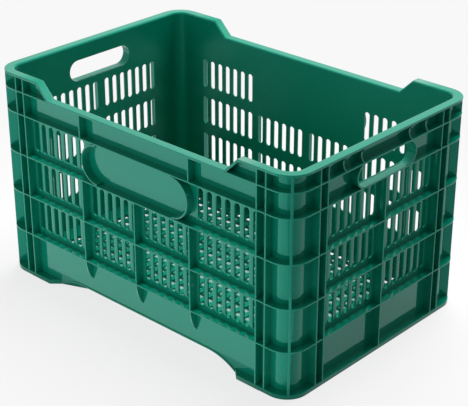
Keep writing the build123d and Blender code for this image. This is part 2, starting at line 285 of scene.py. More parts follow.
def add_bar(bm, low, high, along=None, outer=(2, 1), radius=0.0):
    """Box between two corners; the long edges on its outer side are rounded."""
    low, high = Vector(low), Vector(high)
    place = Matrix.LocRotScale((low + high) / 2, None, high - low)
    verts = bmesh.ops.create_cube(bm, size=1, matrix=place)["verts"]
    if along is None:
        return
    axis, side = outer
    level = high[axis] if side > 0 else low[axis]
    edges = {edge for vert in verts for edge in vert.link_edges}
    rounded = []
    for edge in edges:
        a, b = (vert.co for vert in edge.verts)
        at_level = max(abs(a[axis] - level), abs(b[axis] - level)) < TINY
        if at_level and abs(a[along] - b[along]) > TINY:
            rounded.append(edge)
    soften(bm, rounded, radius)


def add_belt(bm, sizes, u0, u1, z):
    """Horizontal belt in wall space, rooted in the skin."""
    root = -sizes.rib_depth - sizes.skin / 2
    add_bar(bm, (u0, z - sizes.belt / 2, root), (u1, z + sizes.belt / 2, 0), along=0, radius=sizes.edge)


def add_rib(bm, sizes, u, z0, z1):
    """Upright rib in wall space, a hair behind the belts and rooted in the skin."""
    root = -sizes.rib_depth - sizes.skin / 2
    face = -sizes.edge / 4
    add_bar(bm, (u - sizes.rib / 2, z0, root), (u + sizes.rib / 2, z1, face), along=1, radius=sizes.edge)


def add_slot_cell(bm, spot, slot, cell, depths, segments, chamfer, lying=False):
    """One round-ended slot with its share of the plate round it, open at the cell's border.

    The slot's edge is chamfered on the outer face. A lying cell is built upright and turned a quarter.
    """
    across, tall = slot
    low_x, high_x, low_y, high_y = cell
    front, back = depths
    straight = (tall - across) / 2
    reach = across / 2 / cos(pi / segments)
    half_step = Matrix.Rotation(pi / segments, 4, "Z")
    ring = bmesh.ops.create_circle(bm, segments=segments, radius=reach, matrix=half_step)["verts"]
    for vert in ring:
        vert.co.y += copysign(straight, vert.co.y)
        vert.co.z = front - chamfer
    made = list(ring)
    ring_edges = list({edge for vert in ring for edge in vert.link_edges})
    corner = cos(3 * pi / segments)

    def direction(vert):
        return Vector((vert.co.x, vert.co.y - copysign(straight, vert.co.y))).normalized()

    def grow(edges, place):
        grown = bmesh.ops.extrude_edge_only(bm, edges=edges)["geom"]
        verts = verts_of(grown)
        for vert in verts:
            place(vert)
        made.extend(verts)
        fresh = set(verts)
        return [e for e in grown if isinstance(e, bmesh.types.BMEdge) and set(e.verts) <= fresh]

    def widen(vert):
        out = direction(vert) * chamfer
        vert.co = (vert.co.x + out.x, vert.co.y + out.y, front)

    def to_border(vert):
        out = direction(vert)
        border_x = high_x if out.x > 0 else low_x
        if abs(out.x) > cos(2 * pi / segments):
            vert.co.x = border_x
        else:
            vert.co.x = border_x * min(1.0, abs(out.x) / corner)
            vert.co.y = high_y if out.y > 0 else low_y

    def to_back(vert):
        vert.co.z = back

    grow(grow(ring_edges, widen), to_border)
    grow(grow(ring_edges, to_back), to_border)
    if lying:
        bmesh.ops.rotate(bm, cent=(0, 0, 0), matrix=Matrix.Rotation(pi / 2, 3, "Z"), verts=made)
    bmesh.ops.translate(bm, vec=(*spot, 0), verts=made)
    return made


def close_plate(bm, verts):
    """Merge the cells of a plate and wall its border from the front to the back."""
    bmesh.ops.remove_doubles(bm, verts=verts, dist=TINY)
    border = [edge for edge in bm.edges if edge.is_boundary]
    bmesh.ops.bridge_loops(bm, edges=border)


def add_slot_plate(bm, slot, centres, middle, area, depths, chamfer):
    """Plate with a row of upright slots at one height."""
    low_x, high_x, low_y, high_y = area
    borders = [low_x] + [(a + b) / 2 for a, b in zip(centres, centres[1:])] + [high_x]
    verts = []
    for centre, left, right in zip(centres, borders, borders[1:]):
        cell = (left - centre, right - centre, low_y - middle, high_y - middle)
        verts += add_slot_cell(bm, (centre, middle), slot, cell, depths, 12, chamfer)
    close_plate(bm, verts)


def add_lattice(bm, xs, ys, is_open, low, high):
    """Level plate over a grid of lines, left open where is_open says so for a column and a row."""
    rows = [[bm.verts.new((x, y, low)) for x in xs] for y in ys]
    faces = []
    for j, (near, far) in enumerate(zip(rows, rows[1:])):
        for i in range(len(xs) - 1):
            if not is_open(i, j):
                faces.append(bm.faces.new((near[i], near[i + 1], far[i + 1], far[i])))
    loose = [vert for row in rows for vert in row if not vert.link_faces]
    bmesh.ops.delete(bm, geom=loose, context="VERTS")
    edges = {edge for face in faces for edge in face.edges}
    verts = {vert for face in faces for vert in face.verts}
    grown = bmesh.ops.extrude_face_region(bm, geom=[*faces, *edges, *verts])["geom"]
    bmesh.ops.translate(bm, vec=(0, 0, high - low), verts=verts_of(grown))


def slot_centres(sizes, u0, u1):
    """Slot centres between two ribs, evenly pitched and centred in the column."""
    clear = u1 - u0 - sizes.rib
    count = int((clear - sizes.slot_width - 2 * sizes.slot_side_land) / sizes.slot_pitch + TINY) + 1
    first = (u0 + u1) / 2 - (count - 1) * sizes.slot_pitch / 2
    return [first + k * sizes.slot_pitch for k in range(count)]


def arc(x, y, radius, start, stop, steps):
    """Points of an arc in a plane."""
    angles = [start + (stop - start) * k / steps for k in range(steps + 1)]
    return [(x + radius * cos(angle), y + radius * sin(angle)) for angle in angles]


def finish_piece(bm, node, place=None):
    """Turn a bmesh into the piece that stands for a node."""
    if place is not None:
        bm.transform(place)
    bm.normal_update()
    bmesh.ops.recalc_face_normals(bm, faces=bm.faces)
    bm.normal_update()
    for face in bm.faces:
        face.smooth = True
    for edge in bm.edges:
        edge.smooth = edge.is_manifold and edge.calc_face_angle(pi) < radians(50)
    mesh = bpy.data.meshes.new(f"{node}_moulding")
    bm.to_mesh(mesh)
    mesh.materials.append(green_plastic())
    piece = bpy.data.objects.new(f"{node}_moulding", mesh)
    bpy.context.scene.collection.objects.link(piece)
    weighted = piece.modifiers.new("Flat faces stay flat", "WEIGHTED_NORMAL")
    weighted.keep_sharp = True
    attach(piece, "root")
    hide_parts(node)
    return piece


def finish_walls(bm, walls, reach, part):
    """Stand one wall piece on both of its walls."""
    for side, quarter in walls:
        copy = bm.copy()
        finish_piece(copy, f"{side}_{part}", wall_space(reach, quarter))
        copy.free()
    bm.free()


class Sum:
    """Node socket that takes part in Python sums."""

    def __init__(self, paint, socket):
        self.paint = paint
        self.socket = socket

    def _math(self, operation, first, second):
        node = self.paint.node("ShaderNodeMath", {"operation": operation}, {0: first, 1: second})
        return Sum(self.paint, node.outputs[0])

    def __add__(self, other):
        return self._math("ADD", self, other)

    def __radd__(self, other):
        return self._math("ADD", other, self)

    def __sub__(self, other):
        return self._math("SUBTRACT", self, other)

    def __rsub__(self, other):
        return self._math("SUBTRACT", other, self)

    def __mul__(self, other):
        return self._math("MULTIPLY", self, other)

    def __rmul__(self, other):
        return self._math("MULTIPLY", other, self)

    def __pow__(self, other):
        return self._math("POWER", self, other)

    def largest(self, other):
        return self._math("MAXIMUM", self, other)


class Paint:
    """Node tree of a material or world, with one way to add a node."""

    def __init__(self, owner):
        owner.use_nodes = True
        self.tree = owner.node_tree
        self.tree.nodes.clear()

    def node(self, kind, settings=None, sockets=None):
        node = self.tree.nodes.new(kind)
        for key, value in (settings or {}).items():
            setattr(node, key, value)
        for key, value in (sockets or {}).items():
            if isinstance(value, Sum):
                value = value.socket
            if isinstance(value, bpy.types.NodeSocket):
                self.tree.links.new(value, node.inputs[key])
            else:
                node.inputs[key].default_value = value
        return node

    def value(self, kind, output, settings=None, sockets=None):
        return Sum(self, self.node(kind, settings, sockets).outputs[output])

    def noise(self, where, scale, detail=2.0):
        return self.value(
            "ShaderNodeTexNoise", "Fac", None, {"Vector": where, "Scale": scale, "Detail": detail})

    def ramp(self, value, start, stop):
        """Smooth step from nought to one."""
        return self.value(
            "ShaderNodeMapRange", 0, {"interpolation_type": "SMOOTHSTEP"},
            {"Value": value, "From Min": start, "From Max": stop})

    def past_rectangle(self, where, half_x, half_y):
        """Distance in plan from a rectangle about the origin, nought inside it."""
        kind = "ShaderNodeVectorMath"
        across = self.node(kind, {"operation": "ABSOLUTE"}, {0: where})
        past = self.node(kind, {"operation": "SUBTRACT"}, {0: across.outputs[0], 1: (half_x, half_y, 1)})
        outside = self.node(kind, {"operation": "MAXIMUM"}, {0: past.outputs[0], 1: (0, 0, 0)})
        return self.value(kind, "Value", {"operation": "LENGTH"}, {0: outside.outputs[0]})


def green_plastic():
    """Moulded polyethylene, bright outside and satin inside, with faint flow marks and hazy patches."""
    known = bpy.data.materials.get("glossy_green_moulding")
    if known is not None:
        return known
    finish = bpy.context.scene.crate_finish
    sizes = bpy.context.scene.crate_sizes
    plan = Layout(sizes)
    material = bpy.data.materials.new("glossy_green_moulding")
    paint = Paint(material)
    where = paint.node("ShaderNodeTexCoord").outputs["Object"]
    flow = paint.node(
        "ShaderNodeMapping", {"vector_type": "POINT"}, {"Vector": where, "Scale": (9, 9, 3.5)})
    marks = paint.noise(flow.outputs[0], 1.0, 4.0)
    haze = paint.noise(where, 14.0, 5.0) ** 2.2
    rub = paint.noise(where, 210.0, 3.0) ** 5
    colour = paint.node(
        "ShaderNodeMix", {"data_type": "RGBA"},
        {"Factor": marks, 6: (*finish.deep, 1), 7: (*finish.pale, 1)})
    # The middle of the skin parts the satin inside from the polished outside
    core_x, core_y = plan.half_length - sizes.corner_radius, plan.half_width - sizes.corner_radius
    from_core = paint.past_rectangle(where, core_x, core_y)
    skin_middle = sizes.corner_radius - sizes.rib_depth - sizes.skin / 2
    outside = paint.ramp(from_core, skin_middle - sizes.skin / 4, skin_middle + sizes.skin / 4)
    polish = finish.satin + (finish.gloss - finish.satin) * outside
    roughness = polish + finish.haze * haze + finish.haze * 0.6 * rub
    ripple = paint.noise(where, 34.0, 1.0)
    grain = paint.noise(where, 1500.0, 2.0)
    bump = paint.node(
        "ShaderNodeBump", None,
        {"Strength": 0.35, "Distance": 0.0004, "Height": ripple * 0.8 + grain * 0.04})
    shader = paint.node(
        "ShaderNodeBsdfPrincipled", None,
        {"Base Color": colour.outputs[2], "Roughness": roughness, "IOR": 1.58,
         "Specular Tint": (0.18, 1.0, 0.80, 1), "Normal": bump.outputs[0]})
    paint.node("ShaderNodeOutputMaterial", None, {"Surface": shader.outputs[0]})
    return material


class CRATE_OT_grilles(bpy.types.Operator):
    """Build the slotted rows of all four walls with their belts and ribs"""
    bl_idname = "crate.grilles"
    bl_label = "Slotted grilles"

    def execute(self, context):
        sizes = context.scene.crate_sizes
        plan = Layout(sizes)
        self.long_grille(sizes, plan)
        self.end_grille(sizes, plan)
        return {"FINISHED"}

    def rows(self, plan):
        """Bottom and top border of each row of slots, at the middles of its belts."""
        return (
            (plan.bottom, plan.belt_4), (plan.belt_4, plan.belt_3), (plan.belt_3, plan.top))

    def slot_row(self, bm, sizes, plan, columns, sides, middle, levels):
        """One slotted plate through the columns between ribs."""
        centres = [u for column in columns for u in slot_centres(sizes, *column)]
        slot = (sizes.slot_width, plan.slot_height)
        depths = (-sizes.rib_depth, -plan.wall)
        add_slot_plate(bm, slot, centres, middle, (*sides, *levels), depths, sizes.edge * 0.8)

    def long_grille(self, sizes, plan):
        bm = bmesh.new()
        ribs = [-plan.rib_a, -sizes.column_rib, 0, sizes.column_rib, plan.rib_a]
        columns = list(zip(ribs, ribs[1:]))
        rows = self.rows(plan)
        for index in (0, 1):
            middle = plan.belt_5 + index * plan.row + plan.slot_rise
            self.slot_row(bm, sizes, plan, columns, (-plan.seam_x, plan.seam_x), middle, rows[index])
        label_border = sizes.column_rib + sizes.rib / 2
        middle = plan.belt_3 + plan.slot_rise
        self.slot_row(bm, sizes, plan, columns[:1], (-plan.seam_x, -label_border), middle, rows[2])
        self.slot_row(bm, sizes, plan, columns[3:], (label_border, plan.seam_x), middle, rows[2])
        low, high = rows[2][0] - plan.label_z, rows[2][1] - plan.label_z
        cell, depths = (low, high, -label_border, label_border), (-sizes.rib_depth, -plan.wall)
        slot = (plan.label_height, 2 * plan.label_end)
        recess = add_slot_cell(bm, (0, plan.label_z), slot, cell, depths, 32, 0.0, lying=True)
        close_plate(bm, recess)
        for z in (plan.belt_5, plan.belt_4, plan.belt_3, plan.belt_2):
            add_belt(bm, sizes, -plan.seam_x, plan.seam_x, z)
        for u in (-plan.rib_a, plan.rib_a):
            add_rib(bm, sizes, u, plan.bottom, plan.top)
        for u in (-sizes.column_rib, 0, sizes.column_rib):
            add_rib(bm, sizes, u, plan.bottom, plan.belt_3)
        finish_walls(bm, LONG_WALLS, plan.half_width, "grille")

    def end_grille(self, sizes, plan):
        bm = bmesh.new()
        columns = [(-plan.rib_d, 0), (0, plan.rib_d)]
        for index, row in enumerate(self.rows(plan)):
            middle = plan.belt_5 + index * plan.row + plan.slot_rise
            self.slot_row(bm, sizes, plan, columns, (-plan.seam_y, plan.seam_y), middle, row)
        for z in (plan.belt_5, plan.belt_4, plan.belt_3, plan.belt_2):
            add_belt(bm, sizes, -plan.seam_y, plan.seam_y, z)
        for u in (-plan.rib_d, plan.rib_d):
            add_rib(bm, sizes, u, plan.bottom, plan.top)
        add_rib(bm, sizes, 0, plan.bottom, plan.belt_2)
        finish_walls(bm, END_WALLS, plan.half_length, "grille")


def add_end_wall(bm, sizes, centre, radius, start):
    """C-shaped wall round the end of a recess, half a turn from a start angle, in wall space."""
    u, z = centre
    direction = Vector((cos(start), sin(start)))
    root = -sizes.rib_depth - sizes.skin / 2
    section = [(radius - sizes.rib, root), (radius, root), (radius, 0), (radius - sizes.rib, 0)]
    face = add_face(bm, [(u + r * direction.x, z + r * direction.y, w) for r, w in section])
    face = round_points(bm, [vert for vert in face.verts if vert.co.z > -TINY], sizes.edge)
    turn(bm, face, (u, z, 0), (0, 0, 1), pi, 24)


class CRATE_OT_label_frames(bpy.types.Operator):
    """Build the blank label plates with their rounded end walls"""
    bl_idname = "crate.label_frames"
    bl_label = "Label frames"

    def execute(self, context):
        sizes = context.scene.crate_sizes
        plan = Layout(sizes)
        bm = bmesh.new()
        straight = plan.label_end - plan.label_height / 2
        half_step = Matrix.Rotation(pi / 32, 4, "Z")
        reach = plan.label_height / 2 / cos(pi / 32)
        ring = bmesh.ops.create_circle(
            bm, cap_ends=True, segments=32, radius=reach, matrix=half_step)["verts"]
        for vert in ring:
            vert.co.x += copysign(straight, vert.co.x)
        bmesh.ops.translate(bm, vec=(0, plan.label_z, -plan.wall), verts=ring)
        bm.faces.ensure_lookup_table()
        pull(bm, bm.faces[0], (0, 0, sizes.skin))
        for side, start in ((1, -pi / 2), (-1, pi / 2)):
            add_end_wall(bm, sizes, (side * straight, plan.label_z), plan.label_height / 2, start)
        finish_walls(bm, LONG_WALLS, plan.half_width, "label_frame")
        return {"FINISHED"}


def rim_section(bm, sizes, plan, place):
    """Section of the rim flange, its inner top edge rounded; place makes a point of depth and height."""
    under = plan.height - sizes.lip
    corners = [(0, under), (plan.wall, under), (plan.wall, plan.height), (0, plan.height)]
    face = add_face(bm, [place(depth, height) for depth, height in corners])
    inner, outer = face.verts[2], [face.verts[0], face.verts[3]]
    round_points(bm, outer, sizes.edge)
    return round_points(bm, [inner], sizes.rim_round, 4)


class CRATE_OT_rims(bpy.types.Operator):
    """Build the dipped rims of the long walls and the straight rims of the end walls"""
    bl_idname = "crate.rims"
    bl_label = "Rims"

    def execute(self, context):
        sizes = context.scene.crate_sizes
        plan = Layout(sizes)
        self.long_rim(sizes, plan)
        self.end_rim(sizes, plan)
        return {"FINISHED"}

    def dip_line(self, plan, drop):
        """Rim line from left to right, moved down into the flange by drop."""
        mitre = drop * tan(pi / 8)
        high = plan.height - drop
        low = high - plan.dip_depth
        left = [(-plan.seam_x, high), (-plan.dip_shoulder - mitre, high), (-plan.dip_floor - mitre, low)]
        return left + [(-u, z) for u, z in reversed(left)]

    def long_rim(self, sizes, plan):
        bm = bmesh.new()
        drop = bm.verts.layers.float.new("drop")
        face = rim_section(bm, sizes, plan, lambda depth, height: (-plan.seam_x, height, -depth))
        for vert in face.verts:
            vert[drop] = plan.height - vert.co.y
        for station in range(1, 6):
            face = pull(bm, face, (0, 0, 0))
            for vert in face.verts:
                vert.co.x, vert.co.y = self.dip_line(plan, vert[drop])[station]
        under = self.dip_line(plan, sizes.lip)
        outline = [(-plan.seam_x, plan.top), *under, (plan.seam_x, plan.top)]
        panel = add_face(bm, [(u, z, -plan.wall) for u, z in outline])
        pull(bm, panel, (0, 0, sizes.skin))
        inside = plan.height - sizes.lip / 2
        for u in (-plan.rib_a, plan.rib_a):
            add_rib(bm, sizes, u, plan.top, inside)
        for u in (-sizes.column_rib, sizes.column_rib):
            add_rib(bm, sizes, u, plan.top, inside - plan.dip_depth)
        add_belt(bm, sizes, plan.dip_floor, plan.seam_x, plan.belt_1)
        add_belt(bm, sizes, -plan.seam_x, -plan.dip_floor, plan.belt_1)
        finish_walls(bm, LONG_WALLS, plan.half_width, "rim")

    def end_rim(self, sizes, plan):
        bm = bmesh.new()
        low, high = hand_box[1].z, plan.height - sizes.lip
        inside = plan.height - sizes.lip / 2
        face = rim_section(bm, sizes, plan, lambda depth, height: (-plan.seam_y, height, -depth))
        pull(bm, face, (2 * plan.seam_y, 0, 0))
        add_bar(bm, (-plan.seam_y, low, -plan.wall), (plan.seam_y, high, -sizes.rib_depth))
        for u in (-plan.rib_d, plan.rib_d):
            add_rib(bm, sizes, u, low, inside)
        first = plan.rib_d - sizes.scallop_from_corner
        for u in (-first, sizes.scallop_gap - first, first - sizes.scallop_gap, first):
            self.scalloped_rib(bm, sizes, u, low, high)
        finish_walls(bm, END_WALLS, plan.half_length, "rim")

    def scalloped_rib(self, bm, sizes, u, low, high):
        """Short rib whose outer edge is hollowed by an arc."""
        half = (high - low) / 2
        radius = (half**2 + sizes.scallop**2) / (2 * sizes.scallop)
        swing = atan2(half, radius - sizes.scallop)
        hollow = arc(radius - sizes.scallop, low + half, radius, pi - swing, pi + swing, 10)
        root = -sizes.rib_depth - sizes.skin / 2
        outline = [*hollow, (root, low), (root, high)]
        face = add_face(bm, [(u - sizes.rib / 2, z, w) for w, z in outline])
        pull(bm, face, (sizes.rib, 0, 0))


class CRATE_OT_hand_holes(bpy.types.Operator):
    """Build the bands of the end walls round the hand holes"""
    bl_idname = "crate.hand_holes"
    bl_label = "Hand holes"

    def execute(self, context):
        sizes = context.scene.crate_sizes
        plan = Layout(sizes)
        bm = bmesh.new()
        low, high = plan.top, hand_box[1].z
        ceiling = high - sizes.belt
        radius = (ceiling - low) / 2
        straight = sizes.hand_hole / 2 - radius
        middle = (low + ceiling) / 2
        left_end = arc(-straight, middle, radius, 3 * pi / 2, pi / 2, 20)
        right_end = arc(straight, middle, radius, pi / 2, -pi / 2, 20)
        border = [(plan.seam_y, low), (plan.seam_y, high), (-plan.seam_y, high), (-plan.seam_y, low)]
        face = add_face(bm, [(u, z, -plan.wall) for u, z in (*left_end, *right_end, *border)])
        pull(bm, face, (0, 0, sizes.skin))
        self.round_grip(bm, sizes, plan, straight, radius, middle)
        for side, start in ((1, -pi / 2), (-1, pi / 2)):
            add_end_wall(bm, sizes, (side * straight, middle), radius + sizes.rib, start)
        add_belt(bm, sizes, -plan.seam_y, plan.seam_y, plan.belt_1)
        for u in (-plan.rib_d, plan.rib_d):
            add_rib(bm, sizes, u, low, high)
        finish_walls(bm, END_WALLS, plan.half_length, "hand_hole_panel")
        return {"FINISHED"}

    def round_grip(self, bm, sizes, plan, straight, radius, middle):
        """Round the hole's edge on the inside of the crate."""

        def on_hole(point):
            across, up = max(abs(point.x) - straight, 0), point.y - middle
            return abs(across**2 + up**2 - radius**2) < TINY and point.y > plan.top - TINY

        edges = []
        for edge in bm.edges:
            a, b = (vert.co for vert in edge.verts)
            inside = max(a.z, b.z) < -plan.wall + TINY
            if inside and on_hole(a) and on_hole(b) and (a - b).length > TINY:
                edges.append(edge)
        soften(bm, edges, sizes.edge * 1.5)


class CRATE_OT_skirts(bpy.types.Operator):
    """Build the bottom bands of all four walls with brackets, feet and base flange"""
    bl_idname = "crate.skirts"
    bl_label = "Skirts and feet"

    def execute(self, context):
        sizes = context.scene.crate_sizes
        plan = Layout(sizes)
        self.long_skirt(sizes, plan)
        self.end_skirt(sizes, plan)
        return {"FINISHED"}

    def arch_line(self, sizes, plan, grow):
        """Arch between the feet from left to right, with a flat top, grown into the plate."""
        radius = (sizes.arch_run**2 + sizes.arch_rise**2) / (2 * sizes.arch_rise)
        depth = radius - sizes.arch_rise
        swing = atan2(sqrt((radius + grow) ** 2 - depth**2), depth)
        right = arc(plan.arch_x, -depth, radius + grow, pi / 2, pi / 2 - swing, 12)
        return [(-u, z) for u, z in reversed(right)] + right

    def long_skirt(self, sizes, plan):
        bm = bmesh.new()
        right = [(plan.seam_x, 0), (plan.seam_x, plan.bottom)]
        left = [(-plan.seam_x, plan.bottom), (-plan.seam_x, 0)]
        outline = self.arch_line(sizes, plan, 0) + right + left
        pull(bm, add_face(bm, [(u, z, -plan.wall) for u, z in outline]), (0, 0, sizes.skin))
        self.bead(bm, sizes, plan)
        for u in (-plan.rib_a, plan.rib_a):
            add_rib(bm, sizes, u, sizes.base_flange - sizes.belt / 2, plan.bottom)
        for u in (-sizes.column_rib, 0, sizes.column_rib):
            self.bracket(bm, sizes, plan, u)
        for side in (-1, 1):
            self.foot(bm, sizes, plan, side)
        finish_walls(bm, LONG_WALLS, plan.half_width, "skirt")

    def bead(self, bm, sizes, plan):
        """Slim bead along the arch's edge."""
        low = self.arch_line(sizes, plan, sizes.edge / 4)
        high = self.arch_line(sizes, plan, sizes.bead_height)
        root = -sizes.rib_depth - sizes.skin / 2
        face = add_face(bm, [(u, z, root) for u, z in (*low, *reversed(high))])
        face = pull(bm, face, (0, 0, sizes.bead_depth - sizes.rib_depth - root))
        off_base = [edge for edge in face.edges if max(vert.co.y for vert in edge.verts) > TINY]
        soften(bm, off_base, sizes.edge / 2)

    def bracket(self, bm, sizes, plan, u):
        """Bowed bracket under a column rib, running out on the skin."""
        top = Vector((-sizes.bracket_set_back, plan.bottom))
        bow = top - Vector((sizes.bracket_bow_in, sizes.bracket_bow_down))
        foot = Vector((-sizes.rib_depth, plan.bottom - sizes.bracket_drop))
        control = 2 * bow - (top + foot) / 2
        steps = 8
        curve = []
        for k in range(steps + 1):
            t = k / steps
            curve.append(top * (1 - t) ** 2 + control * 2 * t * (1 - t) + foot * t**2)
        root = -sizes.rib_depth - sizes.skin / 2
        outline = [*curve, Vector((root, foot.y)), Vector((root, plan.bottom))]
        face = add_face(bm, [(u - sizes.rib / 2, p.y, p.x) for p in outline])
        pull(bm, face, (sizes.rib, 0, 0))

    def foot(self, bm, sizes, plan, side):
        """Hollow base flange under one end of a long wall, bevelled off toward the arch."""
        slant = sqrt(sizes.foot_bevel**2 + sizes.rib_depth**2) / sizes.rib_depth
        deep = sizes.rib_depth + sizes.skin / 2
        tip = plan.foot_x + sizes.foot_bevel
        run = plan.foot_x - sizes.foot_bevel * sizes.skin / 2 / sizes.rib_depth
        shift = sizes.rib * slant
        inner_tip = tip + shift - sizes.foot_bevel * sizes.rib / sizes.rib_depth
        ledge = [(plan.seam_x, 0), (plan.seam_x, deep), (run, deep), (tip, 0)]
        rim = [
            (plan.seam_x, 0), (plan.seam_x, sizes.rib), (inner_tip, sizes.rib),
            (run + shift, deep), (run, deep), (tip, 0)]
        under = sizes.base_flange - sizes.belt
        plate = add_face(bm, [(side * u, under, -depth) for u, depth in ledge])
        plate = pull(bm, plate, (0, sizes.belt, 0))
        outer = [edge for edge in plate.edges if self.is_free(edge, plan, deep)]
        soften(bm, outer, sizes.edge)
        pull(bm, add_face(bm, [(side * u, 0, -depth) for u, depth in rim]), (0, under, 0))
        web_slant = sqrt(sizes.foot_web_run**2 + sizes.foot_web_depth**2) / sizes.foot_web_depth
        start, thick = sizes.rib_depth + sizes.edge / 4, sizes.rib * web_slant
        far, end = plan.foot_x - sizes.foot_web_run, sizes.rib_depth + sizes.foot_web_depth
        web = [(plan.foot_x, start), (far, end), (far + thick, end), (plan.foot_x + thick, start)]
        pull(bm, add_face(bm, [(side * u, 0, -depth) for u, depth in web]), (0, sizes.floor_under, 0))

    def is_free(self, edge, plan, deep):
        """Tell whether a ledge's edge shows, off the seam and off the skin."""
        points = [vert.co for vert in edge.verts]
        on_seam = all(abs(abs(p.x) - plan.seam_x) < TINY for p in points)
        on_skin = all(abs(p.z + deep) < TINY for p in points)
        return not on_seam and not on_skin

    def end_skirt(self, sizes, plan):
        bm = bmesh.new()
        add_bar(bm, (-plan.seam_y, 0, -plan.wall), (plan.seam_y, plan.bottom, -sizes.rib_depth))
        face = base_section(bm, sizes, lambda depth, height: (-plan.seam_y, height, -depth))
        pull(bm, face, (2 * plan.seam_y, 0, 0))
        for u in (-plan.rib_d, 0, plan.rib_d):
            add_rib(bm, sizes, u, sizes.base_flange - sizes.belt / 2, plan.bottom)
        finish_walls(bm, END_WALLS, plan.half_length, "skirt")


def base_section(bm, sizes, place):
    """Section of the hollow base flange: a ledge with a lip down its outer side."""
    top = sizes.base_flange
    under = top - sizes.belt
    deep = sizes.rib_depth + sizes.skin / 2
    corners = [(0, 0), (sizes.rib, 0), (sizes.rib, under), (deep, under), (deep, top), (0, top)]
    face = add_face(bm, [place(depth, height) for depth, height in corners])
    return round_points(bm, [face.verts[0], face.verts[5]], sizes.edge)


class CRATE_OT_posts(bpy.types.Operator):
    """Build the four rounded corner posts"""
    bl_idname = "crate.posts"
    bl_label = "Corner posts"

    def execute(self, context):
        sizes = context.scene.crate_sizes
        plan = Layout(sizes)
        bm = self.front_right(sizes, plan)
        for node, flip_x, flip_y in (
                ("front_right_post", 1, 1), ("front_left_post", -1, 1),
                ("back_right_post", 1, -1), ("back_left_post", -1, -1)):
            copy = bm.copy()
            finish_piece(copy, node, Matrix.Diagonal((flip_x, flip_y, 1, 1)))
            copy.free()
        bm.free()
        return {"FINISHED"}

    def round_corner(self, bm, sizes, plan, face):
        """Take a wall section from the long wall's seam round the corner to the end wall's seam."""
        radius = sizes.corner_radius
        centre = Vector((plan.half_length - radius, radius - plan.half_width, 0))
        face = pull(bm, face, (centre.x - plan.seam_x, 0, 0))
        face = turn(bm, face, centre, (0, 0, 1), pi / 2, 10)
        pull(bm, face, (0, -plan.seam_y - centre.y, 0))

    def front_right(self, sizes, plan):
        bm = bmesh.new()

        def at_seam(depth, height):
            return (plan.seam_x, depth - plan.half_width, height)

        skin = [
            (sizes.rib_depth, 0), (plan.wall, 0),
            (plan.wall, plan.height - sizes.lip), (sizes.rib_depth, plan.height - sizes.lip)]
        self.round_corner(bm, sizes, plan, add_face(bm, [at_seam(*point) for point in skin]))
        root = sizes.rib_depth + sizes.skin / 2
        for z in (plan.belt_1, plan.belt_2, plan.belt_3, plan.belt_4, plan.belt_5):
            low, high = z - sizes.belt / 2, z + sizes.belt / 2
            section = ((0, low), (root, low), (root, high), (0, high))
            face = add_face(bm, [at_seam(*point) for point in section])
            face = round_points(bm, [face.verts[0], face.verts[3]], sizes.edge)
            self.round_corner(bm, sizes, plan, face)
        self.round_corner(bm, sizes, plan, rim_section(bm, sizes, plan, at_seam))
        self.round_corner(bm, sizes, plan, base_section(bm, sizes, at_seam))
        low, high = sizes.base_flange - sizes.belt / 2, plan.height - sizes.lip / 2
        back = sizes.edge / 4
        add_bar(
            bm, (plan.rib_b - sizes.rib / 2, back - plan.half_width, low),
            (plan.rib_b + sizes.rib / 2, root - plan.half_width, high),
            along=2, outer=(1, -1), radius=sizes.edge)
        add_bar(
            bm, (plan.half_length - root, -plan.rib_c - sizes.rib / 2, low),
            (plan.half_length - back, -plan.rib_c + sizes.rib / 2, high),
            along=2, outer=(0, 1), radius=sizes.edge)
        self.middle_rib(bm, sizes, plan, low, high, root, back)
        return bm

    def middle_rib(self, bm, sizes, plan, low, high, root, back):
        """Rib in the middle of the rounded corner."""
        inner, outer = sizes.corner_radius - root, sizes.corner_radius - back
        sub = bmesh.new()
        add_bar(
            sub, (inner, -sizes.corner_rib / 2, low), (outer, sizes.corner_rib / 2, high),
            along=2, outer=(0, 1), radius=sizes.edge)
        centre = (plan.half_length - sizes.corner_radius, sizes.corner_radius - plan.half_width, 0)
        sub.transform(Matrix.Translation(centre) @ Matrix.Rotation(-pi / 4, 4, "Z"))
        mesh = bpy.data.meshes.new("middle_rib")
        sub.to_mesh(mesh)
        bm.from_mesh(mesh)
        bpy.data.meshes.remove(mesh)
        sub.free()


